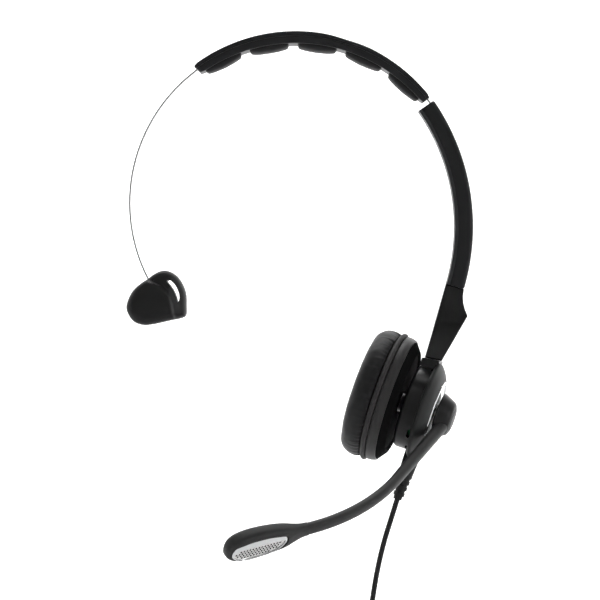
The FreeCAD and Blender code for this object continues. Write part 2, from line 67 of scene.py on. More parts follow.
# A socket that can be worked with like a number
class Value:
    def __init__(self, paint, socket):
        self.paint = paint
        self.socket = socket

    def work(self, operation, first, second):
        return self.paint.add("ShaderNodeMath", {"operation": operation}, {0: first, 1: second})

    def __add__(self, other):
        return self.work("ADD", self, other)

    def __radd__(self, other):
        return self.work("ADD", other, self)

    def __sub__(self, other):
        return self.work("SUBTRACT", self, other)

    def __rsub__(self, other):
        return self.work("SUBTRACT", other, self)

    def __mul__(self, other):
        return self.work("MULTIPLY", self, other)

    def __rmul__(self, other):
        return self.work("MULTIPLY", other, self)

    def __pow__(self, other):
        return self.work("POWER", self, other)


# One material and the nodes it is made of
class Paint:
    def __init__(self, name):
        self.material = bpy.data.materials.new(name)
        self.material.use_nodes = True
        self.tree = self.material.node_tree
        self.tree.nodes.clear()
        self.place = self.add("ShaderNodeTexCoord", {}, {}, "Object")

    def add(self, kind, settings, inputs, output=0):
        node = self.tree.nodes.new(kind)
        for key, value in settings.items():
            setattr(node, key, value)
        for key, value in inputs.items():
            if isinstance(value, Value):
                self.tree.links.new(value.socket, node.inputs[key])
            else:
                node.inputs[key].default_value = value
        return None if output is None else Value(self, node.outputs[output])

    def noise(self, scale, detail=2.0, rough=0.5, where=None):
        return self.add("ShaderNodeTexNoise", {}, {
            "Vector": where or self.place, "Scale": scale, "Detail": detail, "Roughness": rough}, "Fac")

    def mix(self, factor, first, second):
        return self.add("ShaderNodeMix", {"data_type": "RGBA"}, {
            0: factor, 6: (*first, 1) if isinstance(first, tuple) else first,
            7: (*second, 1) if isinstance(second, tuple) else second}, 2)

    def stretch(self, x, y, z):
        return self.add("ShaderNodeMapping", {}, {"Vector": self.place, "Scale": (x, y, z)})

    def bump(self, height, strength, distance, under=None):
        inputs = {"Height": height, "Strength": strength, "Distance": distance}
        if under:
            inputs["Normal"] = under
        return self.add("ShaderNodeBump", {}, inputs)

    def finish(self, **sockets):
        inputs = {}
        for key, value in sockets.items():
            inputs[key.replace("_", " ")] = (*value, 1) if isinstance(value, tuple) else value
        shader = self.add("ShaderNodeBsdfPrincipled", {}, inputs)
        self.add("ShaderNodeOutputMaterial", {"is_active_output": True}, {"Surface": shader}, None)
        return self.material


def plain(name, colour, rough, metallic=0.0, coat=0.0, depth=0.12, wear=0.06, shine=0.30):
    # Smooth plastic, rubber or metal: faint clouds in its tone and a fine grain
    look = {"clouds": 60.0, "grain": 2500.0, "grainHeight": 0.00004, "clear": 0.03}
    paint = Paint(name)
    cloud = paint.noise(look["clouds"], 3.0)
    fine = paint.noise(look["grain"], 2.0)
    lighter = tuple(min(1.0, c * (1 + 3 * wear) + 0.003) for c in colour)
    return paint.finish(
        Base_Color=paint.mix(cloud, colour, lighter), Roughness=rough + (cloud - 0.5) * wear * 2,
        Metallic=metallic, Coat_Weight=coat, Coat_Roughness=look["clear"], Specular_IOR_Level=shine,
        Normal=paint.bump(fine, depth, look["grainHeight"]))


def leather(name, colour, rough):
    paint = Paint(name)
    cells = paint.add("ShaderNodeTexVoronoi", {"feature": "DISTANCE_TO_EDGE"}, {
        "Vector": paint.place, "Scale": 900.0}, "Distance")
    folds = paint.noise(180.0, 4.0, 0.6)
    pores = cells ** 0.5
    # The fold noise also sets the colour: partly a varying tone, partly painted shade in the fold hollows
    # and painted light on the crests
    return paint.finish(
        Base_Color=paint.mix(folds, colour, tuple(c * 1.5 for c in colour)),
        Roughness=rough + (folds - 0.5) * 0.16, Specular_IOR_Level=0.3,
        Normal=paint.bump(pores, 0.32, 0.00008, paint.bump(folds, 0.22, 0.0003)))


def woven(name, colour, rough, scale):
    paint = Paint(name)
    warp = paint.add("ShaderNodeTexWave", {"bands_direction": "X"}, {
        "Vector": paint.place, "Scale": scale}, "Fac")
    weft = paint.add("ShaderNodeTexWave", {"bands_direction": "Z"}, {
        "Vector": paint.place, "Scale": scale}, "Fac")
    height = warp * weft
    # The colour follows the weave's height and falls to 0.6 of the tone where the threads dip: painted shade
    # between the threads
    return paint.finish(
        Base_Color=paint.mix(height, tuple(c * 0.6 for c in colour), colour), Roughness=rough,
        Normal=paint.bump(height, 0.5, 0.0002))


def sponge(name, colour):
    paint = Paint(name)
    cells = paint.add("ShaderNodeTexVoronoi", {}, {"Vector": paint.place, "Scale": 1500.0}, "Distance")
    # The colour is darkest at the cell centres, where the bump sinks the pores: painted shade in the pores
    return paint.finish(
        Base_Color=paint.mix(cells, colour, tuple(c * 2 for c in colour)), Roughness=0.95,
        Normal=paint.bump(cells, 0.8, 0.0004))


def brushed(name, colour, rough):
    paint = Paint(name)
    lines = paint.noise(400.0, 2.0, 0.5, paint.stretch(12.0, 1.0, 12.0))
    return paint.finish(
        Base_Color=colour, Metallic=1.0, Roughness=rough + (lines - 0.5) * 0.12,
        Normal=paint.bump(lines, 0.08, 0.00003))


finishes = {
    "strip_steel": brushed("strip_steel", (0.20, 0.20, 0.21), 0.34),
    "crown_black": plain("crown_black", (0.0125, 0.0130, 0.0145), 0.46, depth=0.22),
    "crown_pad": plain("crown_pad", (0.0125, 0.0125, 0.0135), 0.72, depth=0.30),
    "arm_black": plain("arm_black", (0.0115, 0.0118, 0.0130), 0.40, depth=0.16),
    "inner_grey": plain("inner_grey", (0.035, 0.036, 0.038), 0.50),
    "piano_black": plain("piano_black", (0.0034, 0.0034, 0.0038), 0.07, coat=0.2, depth=0.0, wear=0.02),
    "core_steel": brushed("core_steel", (0.50, 0.50, 0.50), 0.35),
    "nylon": plain("nylon", (0.62, 0.61, 0.57), 0.50),
    "hub_black": plain("hub_black", (0.0080, 0.0080, 0.0085), 0.30, depth=0.10),
    "disc_grey": plain("disc_grey", (0.0120, 0.0130, 0.0130), 0.46, depth=0.16),
    "chrome": plain("chrome", (0.86, 0.87, 0.88), 0.07, metallic=1.0, depth=0.0, wear=0.02),
    "board_green": plain("board_green", (0.012, 0.115, 0.045), 0.35),
    "cup_satin": plain("cup_satin", (0.0380, 0.0375, 0.0376), 0.40, depth=0.12),
    "ring_rubber": plain("ring_rubber", (0.0400, 0.0395, 0.0395), 0.62, depth=0.25),
    "cushion_leather": leather("cushion_leather", (0.0105, 0.0105, 0.0112), 0.46),
    "diaphragm": plain("diaphragm", (0.10, 0.10, 0.11), 0.30),
    "magnet": brushed("magnet", (0.42, 0.42, 0.43), 0.30),
    "boom_grey": plain("boom_grey", (0.0340, 0.0340, 0.0342), 0.46, depth=0.20),
    "mesh_silver": brushed("mesh_silver", (0.88, 0.87, 0.86), 0.26),
    "foam": sponge("foam", (0.012, 0.012, 0.012)),
    "temple_rubber": plain("temple_rubber", (0.0110, 0.0110, 0.0115), 0.42, depth=0.20),
    "cord_rubber": plain("cord_rubber", (0.0135, 0.0135, 0.0140), 0.45, depth=0.18),
    "plug_black": plain("plug_black", (0.0130, 0.0130, 0.0135), 0.38, depth=0.14),
    "contact_brass": brushed("contact_brass", (0.78, 0.60, 0.28), 0.25),
    "tie_fabric": woven("tie_fabric", (0.022, 0.022, 0.024), 0.85, 900.0),
}
# The pieces that stay as the pack made them wear the same finishes
for node in nodes.values():
    for slot in node.material_slots:
        slot.material = finishes[slot.material.name.split(".")[0]]
print("finishes", len(finishes))


def area(name, spot, target, width, height, power):
    data = bpy.data.lights.new(name, "AREA")
    data.shape = "RECTANGLE"
    data.size, data.size_y = width, height
    data.energy = power
    lamp = bpy.data.objects.new(name, data)
    lamp.location = spot
    lamp.visible_camera = False
    lamp.rotation_euler = (Vector(target) - Vector(spot)).to_track_quat("-Z", "Y").to_euler()
    bpy.context.scene.collection.objects.link(lamp)


def studio():
    view = {"x": 0.00126, "distance": 1.6, "z": -0.1071, "lens": 228.6, "sensor": 36.0, "far": 20.0}
    floor = {"height": -0.3175, "flat": 2.4, "bend": 0.8, "top": 3.0, "around": 96, "steps": 12,
             "tone": 0.76, "glow": 0.62, "glowFrom": -0.3, "glowTo": 1.2, "room": 0.02}
    middle = (0.0, 0.0, -0.1)
    # Each lamp: place, aim, width, height, power
    lamps = {
        "overhead": ((0.15, 0.10, 0.9), middle, 0.6, 0.4, 2.0),
        "left": ((-1.0, -0.20, 0.15), middle, 0.2, 0.8, 0.5),
        "right": ((1.0, -0.62, -0.05), middle, 0.22, 0.5, 1.3),
        "front": ((-0.1, -0.9, 1.0), middle, 0.5, 0.25, 0.8),
        "back": ((0.0, 0.8, 1.6), (0, 2.6, -0.1), 2.4, 0.6, 60.0),
    }
    lens = bpy.data.cameras.new("camera")
    lens.lens = view["lens"]
    lens.sensor_width = view["sensor"]
    lens.clip_end = view["far"]
    camera = bpy.data.objects.new("camera", lens)
    camera.location = (view["x"], -view["distance"], view["z"])
    camera.rotation_euler = (math.radians(90), 0, 0)
    bpy.context.scene.collection.objects.link(camera)
    bpy.context.scene.camera = camera

    # A round floor that curves up into a wall; it glows softly towards the back
    sweep = [(0.0002, floor["height"])] + [(floor["flat"] * k / 8, floor["height"]) for k in range(1, 9)]
    for i in range(1, floor["steps"] + 1):
        angle = math.pi / 2 * i / floor["steps"]
        sweep.append((floor["flat"] + floor["bend"] * math.sin(angle),
                      floor["height"] + floor["bend"] * (1 - math.cos(angle))))
    sweep.append((floor["flat"] + floor["bend"], floor["top"]))
    around = floor["around"]
    verts = [(r * math.cos(2 * math.pi * k / around), r * math.sin(2 * math.pi * k / around), z)
             for r, z in sweep for k in range(around)]
    faces = [(i * around + k, i * around + (k + 1) % around, (i + 1) * around + (k + 1) % around,
              (i + 1) * around + k) for i in range(len(sweep) - 1) for k in range(around)]
    data = bpy.data.meshes.new("floor")
    data.from_pydata(verts, [], faces)
    data.shade_smooth()
    sheet = bpy.data.objects.new("floor", data)
    bpy.context.scene.collection.objects.link(sheet)
    paint = Paint("floor")
    depth = paint.add("ShaderNodeSeparateXYZ", {}, {"Vector": paint.place}, "Y")
    ease = paint.add("ShaderNodeMapRange", {"interpolation_type": "SMOOTHSTEP"}, {
        "Value": depth, "From Min": floor["glowFrom"], "From Max": floor["glowTo"]})
    data.materials.append(paint.finish(
        Base_Color=(floor["tone"],) * 3, Roughness=0.9,
        Emission_Color=paint.mix(ease, (0.0, 0.0, 0.0), (1.0, 1.0, 1.0)), Emission_Strength=floor["glow"]))

    world = bpy.data.worlds.new("room")
    world.use_nodes = True
    world.node_tree.nodes["Background"].inputs[0].default_value = (1, 1, 1, 1)
    world.node_tree.nodes["Background"].inputs[1].default_value = floor["room"]
    bpy.context.scene.world = world
    for name, settings in lamps.items():
        area(name, *settings)
    bpy.context.scene.view_settings.view_transform = "Standard"


studio()
print("studio")


def newObject(name, verts, faces):
    # A mesh object whose faces all look outwards, not yet in the scene
    data = bpy.data.meshes.new(name)
    data.from_pydata([tuple(v) for v in verts], [], faces)
    work = bmesh.new()
    work.from_mesh(data)
    bmesh.ops.recalc_face_normals(work, faces=work.faces)
    work.to_mesh(data)
    work.free()
    return bpy.data.objects.new(name, data)


def bevel(piece, width, segments, angle):
    tool = piece.modifiers.new("edges", "BEVEL")
    tool.width = width
    tool.segments = segments
    tool.limit_method = "ANGLE"
    tool.angle_limit = math.radians(angle)
    tool.harden_normals = True


def roundCorners(points, radius, steps):
    # Closed outline with each sharp corner swapped for a small arc; a point may carry its own radius
    made = []
    count = len(points)
    for i, here in enumerate(points):
        here = Vector(here[:2])
        back = Vector(points[i - 1][:2]) - here
        ahead = Vector(points[(i + 1) % count][:2]) - here
        own = points[i][2] if len(points[i]) > 2 else radius
        reach = min(own, back.length * 0.45, ahead.length * 0.45)
        a, b = back.normalized() * reach, ahead.normalized() * reach
        for k in range(steps + 1):
            t = k / steps
            made.append(tuple(here + a * (1 - t) ** 2 + b * t ** 2))
    return made


def loftMesh(rings, loop=False):
    # Joins each ring to the next; the last one meets the first, or both ends are capped
    verts = [v for ring in rings for v in ring]
    rows, n = len(rings), len(rings[0])
    faces = []
    for i in range(rows if loop else rows - 1):
        j = (i + 1) % rows
        for k in range(n):
            m = (k + 1) % n
            faces.append((i * n + k, i * n + m, j * n + m, j * n + k))
    if not loop:
        faces.append(tuple(range(n)))
        faces.append(tuple(range((rows - 1) * n, rows * n)))
    return verts, faces


def lofted(name, rings, body, slotName, stands, loop=False):
    piece = newObject(name, *loftMesh(rings, loop))
    bpy.context.scene.collection.objects.link(piece)
    piece.data.shade_smooth()
    piece.data.materials.append(finishes[slotName])
    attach(piece, body)
    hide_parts(*stands)
    return piece


def spun(name, profile, place, body, slotName, stands):
    # A closed outline in radius and height, turned about the place's third axis
    turns = 160
    outline = roundCorners(profile, 0.0003, 4)
    rings = []
    for i in range(turns):
        angle = 2 * math.pi * i / turns
        rings.append([place @ Vector((r * math.cos(angle), r * math.sin(angle), s)) for r, s in outline])
    return lofted(name, rings, body, slotName, stands, loop=True)


def plump(name, outline, middle, depth, edge, body, slotName, stands, crown=0.0):
    # An outline in X and Z, star shaped about its middle, given depth along Y with rounded edges
    rings = []
    inner, rounded, smallest = 30, 6, 0.02
    last = inner + rounded
    for sign, order in ((-1, range(0, last + 1)), (1, range(last, -1, -1))):
        for step in order:
            ring = []
            for spot in outline:
                ray = spot - middle
                if step < inner:
                    scale = smallest + (1 - edge / ray.length - smallest) * step / inner
                    rise = crown * (1 - (step / inner) ** 2)
                else:
                    angle = math.pi / 2 * (step - inner) / rounded
                    scale = 1 - edge * (1 - math.sin(angle)) / ray.length
                    rise = -edge * (1 - math.cos(angle))
                flat = middle + ray * scale
                ring.append(Vector((flat.x, sign * (depth(flat) + rise), flat.y)))
            rings.append(ring)
    return lofted(name, rings, body, slotName, stands)


def prism(place, outline, low, high, name="cutter"):
    # A flat outline in local X and Z, raised along local Y
    n = len(outline)
    verts = [place @ Vector((p[0], y, p[1])) for y in (low, high) for p in outline]
    faces = [tuple(range(n)), tuple(range(n, 2 * n))]
    faces += [(k, (k + 1) % n, n + (k + 1) % n, n + k) for k in range(n)]
    return newObject(name, verts, faces)


def cut(piece, tool):
    # Takes the tool's shape away from the piece, then drops the tool
    bpy.context.scene.collection.objects.link(tool)
    change = piece.modifiers.new("cut", "BOOLEAN")
    change.operation = "DIFFERENCE"
    change.solver = "EXACT"
    change.object = tool
    made = bpy.data.meshes.new_from_object(piece.evaluated_get(bpy.context.evaluated_depsgraph_get()))
    piece.modifiers.clear()
    piece.data = made
    bpy.data.objects.remove(tool)
    for polygon in made.polygons:
        polygon.use_smooth = True
    made.set_sharp_from_angle(angle=math.radians(35))


def insideLoop(spot, outline):
    # Whether a flat spot lies within a closed outline
    odd = False
    for a, b in zip(outline, outline[1:] + outline[:1]):
        if (a.y > spot.y) != (b.y > spot.y) and spot.x < (b.x - a.x) * (spot.y - a.y) / (b.y - a.y) + a.x:
            odd = not odd
    return odd


def passing(a, b, c, d, t):
    # The way from b to c on a smooth line through all four
    return 0.5 * (2 * b + (c - a) * t + (2 * a - 5 * b + 4 * c - d) * t * t
                  + (3 * b - 3 * c + d - a) * t ** 3)


def curveLoop(points, count):
    # Smooth closed line through the given points
    made = []
    n = len(points)
    per = max(1, count // n)
    for i in range(n):
        a, b, c, d = (Vector(points[(i + k - 1) % n]) for k in range(4))
        for k in range(per):
            made.append(passing(a, b, c, d, k / per))
    return made


def makeCushion():
    # Outline in radius and height, from the inner seam round the outside; each range is for a random draw
    sizes = {
        "outline": [(0.0253, -0.01955), (0.02665, -0.0203), (0.0272, -0.0222), (0.0271, -0.0243),
                    (0.0262, -0.0266), (0.0245, -0.0283), (0.0218, -0.0291), (0.0192, -0.0292),
                    (0.0165, -0.0290), (0.0142, -0.0280), (0.0129, -0.0258), (0.0127, -0.0228),
                    (0.0129, -0.0199), (0.0190, -0.0195)],
        "around": 420, "pleats": 84, "seed": 7, "spread": (-0.4, 0.4), "width": (0.012, 0.022),
        "depth": 0.00068, "share": (0.25, 1.0), "reach": (0.003, 0.0085), "lean": (-6, 6), "fade": 1.3,
        "seat": -0.0198,
        "lumps": ((160, 0.00018), (420, 0.00006)),
    }
    random.seed(sizes["seed"])
    outline = curveLoop(sizes["outline"], 98)
    travel = [0.0]
    for a, b in zip(outline, outline[1:]):
        travel.append(travel[-1] + (b - a).length)
    pleats = []
    for i in range(sizes["pleats"]):
        pleats.append((2 * math.pi * (i + random.uniform(*sizes["spread"])) / sizes["pleats"],
                       random.uniform(*sizes["width"]), sizes["depth"] * random.uniform(*sizes["share"]),
                       random.uniform(*sizes["reach"]), random.uniform(*sizes["lean"])))
    rings = []
    n = len(outline)
    for i in range(sizes["around"]):
        angle = 2 * math.pi * i / sizes["around"]
        ring = []
        for k, spot in enumerate(outline):
            ahead, back = outline[(k + 1) % n], outline[k - 1]
            side = Vector((ahead.y - back.y, back.x - ahead.x)).normalized()
            dent = 0.0
            for where, width, depth, reach, lean in pleats:
                off = (angle - where - lean * travel[k] + math.pi) % (2 * math.pi) - math.pi
                if abs(off) < 3 * width and travel[k] < reach:
                    fade = (1 - travel[k] / reach) ** sizes["fade"]
                    dent += depth * math.exp(-(off / width) ** 2) * fade
            place = Vector((math.cos(angle) * spot.x, math.sin(angle) * spot.x, spot.y))
            soft = sum(noise.noise(place * scale) * height for scale, height in sizes["lumps"])
            free = 0.0 if spot.y > sizes["seat"] else 1.0  # the seam against the ring stays plain
            r, s = Vector(spot) + side * (soft - dent) * free
            ring.append(hubFrame @ Vector((math.cos(angle) * r, math.sin(angle) * r, s)))
        rings.append(ring)
    cushion = lofted("cushion", rings, "cup", "cushion_leather", ["ear_cushion"], loop=True)


makeCushion()
print("cushion")


def makeTurnedParts():
    # Name: pack piece, body, finish, outline in radius and height with the odd corner radius
    outlines = {
        "ring": ("retention_ring", "cup", "ring_rubber", [
            (0.0220, -0.0194), (0.0266, -0.0194), (0.0276, -0.0187, 0.0006), (0.0279, -0.0181, 0.0006),
            (0.0277, -0.0173, 0.0006), (0.0270, -0.0170), (0.0252, -0.01685), (0.0252, -0.01525),
            (0.0238, -0.01525), (0.0238, -0.0176), (0.0220, -0.0176)]),
        "shell": ("cup_shell", "cup", "cup_satin", [
            (0.0238, -0.0168), (0.0266, -0.0168), (0.0270, -0.0165), (0.0270, -0.0146, 0.0010),
            (0.0263, -0.0126, 0.00015), (0.0246, -0.0126), (0.0238, -0.0140)]),
        "cupBack": ("cup_back", "cup", "hub_black", [
            (0.0047, -0.0106), (0.0208, -0.0106), (0.0211, -0.0098), (0.0216, -0.0096),
            (0.0224, -0.0098, 0.0004), (0.0258, -0.0124), (0.0256, -0.0130), (0.0236, -0.0130),
            (0.0216, -0.0122), (0.0086, -0.0122), (0.0086, -0.0159), (0.0047, -0.0159)]),
        "barrel": ("hub_barrel", "arm", "hub_black", [
            (0.00305, -0.0079), (0.0170, -0.0079), (0.0180, -0.0069, 0.0008), (0.0180, -0.0004),
            (0.0164, -0.0004), (0.0164, -0.0063), (0.00305, -0.0063)]),
        "disc": ("hub_disc", "arm", "disc_grey", [
            (0.0181, -0.0009), (0.0202, -0.0009), (0.0206, -0.0004), (0.0206, 0.0004, 0.0005),
            (0.0202, 0.0010, 0.0006), (0.0179, 0.0029, 0.0016), (0.0143, 0.0047), (0.0143, 0.0030),
            (0.0129, 0.0030), (0.0129, 0.0022), (0.0154, 0.0022), (0.0186, -0.0003), (0.0181, -0.0003)]),
        "ringChrome": ("chrome_ring", "arm", "chrome", [
            (0.0127, 0.00305), (0.01425, 0.00305), (0.01425, 0.0048, 0.0004), (0.0137, 0.00505, 0.0004),
            (0.0129, 0.00505, 0.0004), (0.0127, 0.0047)]),
        "cap": ("boom_cap", "boom", "hub_black", [
            (0.0030, 0.0057), (0.0093, 0.0057), (0.00955, 0.0062, 0.0003), (0.0093, 0.0068, 0.0004),
            (0.0076, 0.0106, 0.0008), (0.0068, 0.0118, 0.0007), (0.0058, 0.0123), (0.0052, 0.0124),
            (0.0052, 0.0114), (0.0030, 0.0114)]),
    }
    for name, (node, body, slotName, outline) in outlines.items():
        spun(name, outline, hubFrame, body, slotName, [node])
    # The recessed back wall is dull, so that it stays dark at a low angle; its colour, darker than the hub's
    # black, is painted shade for the recess
    bpy.data.objects["cupBack"].data.materials[0] = plain(
        "backMattPaintedShade", (0.0045, 0.0045, 0.0048), 0.90, depth=0.05, shine=0.04)
    # Three small openings beside the disc
    slots = {
        "angleAndWidth": ((106, 0.0020), (-141, 0.0026), (-109, 0.0022)), "radius": 0.0172,
        "shape": ((-0.7, 0.0009), (0.7, 0.0009), (1.0, 0.0016), (0.7, 0.0025), (-0.7, 0.0025),
                  (-1.0, 0.0016)),
        "inwards": -0.0020, "outwards": 0.0030,
    }
    barrel = bpy.data.objects["barrel"]
    for angle, wide in slots["angleAndWidth"]:
        a = math.radians(angle)
        ray, side = Vector((math.cos(a), math.sin(a), 0)), Vector((-math.sin(a), math.cos(a), 0))
        spot = hubFrame @ basis(ray * slots["radius"], side, ray, side.cross(ray))
        outline = [Vector((x * wide, z)) for x, z in slots["shape"]]
        cut(barrel, prism(spot, outline, slots["inwards"], slots["outwards"]))


makeTurnedParts()
print("hub")


def section(count, power, wide, up, down):
    # A rounded section: pairs of height and half width, 2 for an ellipse and more for a boxier one
    made = []
    for k in range(count):
        a = 2 * math.pi * k / count
        c, s = math.cos(a), math.sin(a)
        made.append((math.copysign(abs(s) ** (2 / power), s) * (up if s > 0 else down),
                     math.copysign(abs(c) ** (2 / power), c) * wide))
    return made


def makeBoom():
    # A straight tapering run, one round bend and a short run into the head, drawn flat in the boom's plane
    sizes = {
        "start": (0.0035, 0.00976), "bendStart": (0.0450, 0.0026), "corner": (0.0711, -0.0019),
        "bend": 0.0265, "end": math.radians(-42.6), "past": 0.0052, "headStart": 0.00505,
        "thick": (0.0027, 0.0021), "wide": (0.0029, 0.0026), "taper": 30, "power": 2.5,
    }
    straight, curved, after, around = 26, 48, 6, 36
    start, bendStart, corner = (Vector(sizes[key]) for key in ("start", "bendStart", "corner"))
    along = Vector((math.cos(sizes["end"]), math.sin(sizes["end"])))
    bendEnd = corner + along * sizes["bend"]
    last = bendEnd + along * sizes["past"]
    first = corner - bendStart
    heading = math.atan2(first.y, first.x)
    turn = heading - sizes["end"]
    radius = sizes["bend"] / math.tan(turn / 2)
    middle = bendStart + Vector((math.sin(heading), -math.cos(heading))) * radius
    line = [start.lerp(bendStart, i / straight) for i in range(straight)]
    for i in range(curved + 1):
        a = heading + math.pi / 2 - turn * i / curved
        line.append(middle + Vector((math.cos(a), math.sin(a))) * radius)
    line += [bendEnd.lerp(last, i / after) for i in range(1, after + 1)]
    rings = []
    count = len(line)
    for i, spot in enumerate(line):
        ahead = line[min(count - 1, i + 1)] - line[max(0, i - 1)]
        side = Vector((-ahead.y, ahead.x)).normalized()
        t = min(1.0, i / sizes["taper"])
        thick, wide = (sizes[key][0] * (1 - t) + sizes[key][1] * t for key in ("thick", "wide"))
        rings.append([boomFrame @ Vector((*(spot + side * off), z))
                      for off, z in section(around, sizes["power"], wide, thick, thick)])
    lofted("boom", rings, "boom", "boom_grey", ["boom_sheath"])
    return boomFrame @ basis((bendEnd + along * sizes["headStart"]).to_3d(), along.to_3d(),
                             Vector((-along.y, along.x, 0)), Vector((0, 0, 1)))


def makeMicHead(place):
    sizes = {
        # Distance, half width, reach to the grille side, reach to the back
        "stations": [
            (-0.0030, 0.0026, 0.0021, 0.0021), (0.0000, 0.0028, 0.0023, 0.0023),
            (0.0035, 0.0036, 0.0030, 0.0028), (0.0070, 0.0046, 0.0037, 0.0034),
            (0.0110, 0.0054, 0.0040, 0.0039), (0.0160, 0.0060, 0.0040, 0.0042),
            (0.0205, 0.0063, 0.0040, 0.0043), (0.0250, 0.0062, 0.0040, 0.0043),
            (0.0290, 0.0057, 0.0040, 0.0040), (0.0318, 0.0048, 0.0036, 0.0034),
            (0.0336, 0.0036, 0.0029, 0.0026), (0.0347, 0.0020, 0.0018, 0.0015),
            (0.0350, 0.0006, 0.0006, 0.0005)],
        "opening": [(0.0074, 0.0001), (0.0090, -0.0023), (0.0120, -0.0040), (0.0160, -0.0048),
                    (0.0200, -0.0050), (0.0260, -0.0053), (0.0300, -0.0044), (0.0325, -0.0024),
                    (0.0330, -0.0006),
                    (0.0325, 0.0014), (0.0310, 0.0030), (0.0260, 0.0040), (0.0200, 0.0042), (0.0140, 0.0038),
                    (0.0086, 0.0026)],
        "inside": [(0.0092, 0.0001), (0.0105, -0.0019), (0.0130, -0.0034), (0.0165, -0.0042),
                   (0.0200, -0.0045), (0.0260, -0.0047), (0.0295, -0.0039), (0.0316, -0.0021),
                   (0.0321, -0.0008),
                   (0.0314, 0.0002), (0.0296, 0.0008), (0.0255, 0.0013), (0.0200, 0.0015), (0.0145, 0.0014),
                   (0.0100, 0.0010)],
        # Share of the way from the opening to the inside, height
        "bezel": [(0.10, 0.00318), (0.72, 0.00392), (0.84, 0.00395), (0.92, 0.00385), (0.92, 0.00295)],
        "rim": (0.00006, 0.00295, 0.00305), "wider": 1.06, "power": 3.0, "least": (0.0004, 0.0003),
        "step": 0.0029, "well": 0.0012, "above": 0.0070, "plate": (0.00296, 0.00330), "edge": 0.00018,
        "pitch": 0.00136, "rows": 5, "columns": 30, "rowPitch": 0.78, "firstHole": 0.0085, "hole": 0.00046,
        "margin": 0.00075, "drill": (0.0027, 0.0036), "drillSides": 12,
    }
    stations = sizes["stations"]
    slimmest, thinnest = sizes["least"]
    many, around = 64, 64
    rings = []
    for i in range(many + 1):
        t = i / many * (len(stations) - 1)
        k = min(len(stations) - 2, int(t))
        before, after = stations[max(0, k - 1)], stations[min(len(stations) - 1, k + 2)]
        four = zip(before, stations[k], stations[k + 1], after)
        x, wide, up, down = (passing(*values, t - k) for values in four)
        outline = section(around, sizes["power"], max(wide * sizes["wider"], slimmest),
                          max(up, thinnest), max(down, thinnest))
        rings.append([place @ Vector((x, y, z)) for y, z in outline])
    housing = lofted("micHousing", rings, "boom", "boom_grey", ["mic_housing"])
    cut(housing, prism(place, curveLoop(sizes["opening"], 90), sizes["step"], sizes["above"]))
    cut(housing, prism(place, curveLoop(sizes["inside"], 90), sizes["well"], sizes["above"]))
    bevel(housing, sizes["edge"], 2, 50)

    # The bright frame lies between the two outlines
    outer, inner = curveLoop(sizes["opening"], 120), curveLoop(sizes["inside"], 120)
    inset, low, high = sizes["rim"]
    rings = []
    for a, b in zip(outer, inner):
        toward = b - a
        rim = a + toward.normalized() * inset
        profile = [(rim, low), (rim, high)] + [(a + toward * share, y) for share, y in sizes["bezel"]]
        rings.append([place @ Vector((p.x, y, p.y)) for p, y in profile])
    lofted("micBezel", rings, "boom", "chrome", ["mic_bezel"], loop=True)

    # The plate in the well, with a drill for each hole that clears its edge
    plate = prism(place, curveLoop(sizes["inside"], 90), *sizes["plate"], "micPlate")
    bpy.context.scene.collection.objects.link(plate)
    pitch, sides = sizes["pitch"], sizes["drillSides"]
    holes = []
    for row in range(-sizes["rows"], sizes["rows"] + 1):
        for column in range(sizes["columns"]):
            across = sizes["firstHole"] + (column + 0.5 * (row % 2)) * pitch
            spot = Vector((across, row * pitch * sizes["rowPitch"]))
            if min((spot - p).length for p in inner) > sizes["margin"] and insideLoop(spot, inner):
                holes.append(spot)
    verts, faces = [], []
    for spot in holes:
        base, top = len(verts), len(verts) + sides
        for y in sizes["drill"]:
            for k in range(sides):
                a = 2 * math.pi * k / sides
                x, z = spot.x + sizes["hole"] * math.cos(a), spot.y + sizes["hole"] * math.sin(a)
                verts.append(place @ Vector((x, y, z)))
        faces += [tuple(base + k for k in range(sides)), tuple(top + k for k in range(sides))]
        faces += [(base + k, base + (k + 1) % sides, top + (k + 1) % sides, top + k) for k in range(sides)]
    cut(plate, newObject("cutter", verts, faces))
    print("holes", len(holes), "faces", len(plate.data.polygons))
    plate.data.materials.append(finishes["mesh_silver"])
    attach(plate, "boom")
    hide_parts("mic_mesh")


makeMicHead(makeBoom())
print("boom and microphone")


def arcThrough(a, b, c):
    # Centre and radius of the circle through three points
    ax, ay, bx, by, cx, cy = *a, *b, *c
    d = 2 * (ax * (by - cy) + bx * (cy - ay) + cx * (ay - by))
    aa, bb, cc = ax * ax + ay * ay, bx * bx + by * by, cx * cx + cy * cy
    ux = (aa * (by - cy) + bb * (cy - ay) + cc * (ay - by)) / d
    uy = (aa * (cx - bx) + bb * (ax - cx) + cc * (bx - ax)) / d
    return Vector((ux, uy)), math.hypot(ax - ux, ay - uy)


def onArc(circle, first, last, t):
    # A share t of the way round the circle from the first point to the last
    centre, radius = circle
    a = math.atan2(first[1] - centre.y, first[0] - centre.x)
    b = math.atan2(last[1] - centre.y, last[0] - centre.x)
    angle = a + (b - a) * t
    return centre + Vector((math.cos(angle), math.sin(angle))) * radius


def crownWidth(x, middle, end):
    # Half width of the crown, greatest just right of its middle
    return middle - (middle - end) * min(1.0, abs((x - 0.006) / 0.053)) ** 2


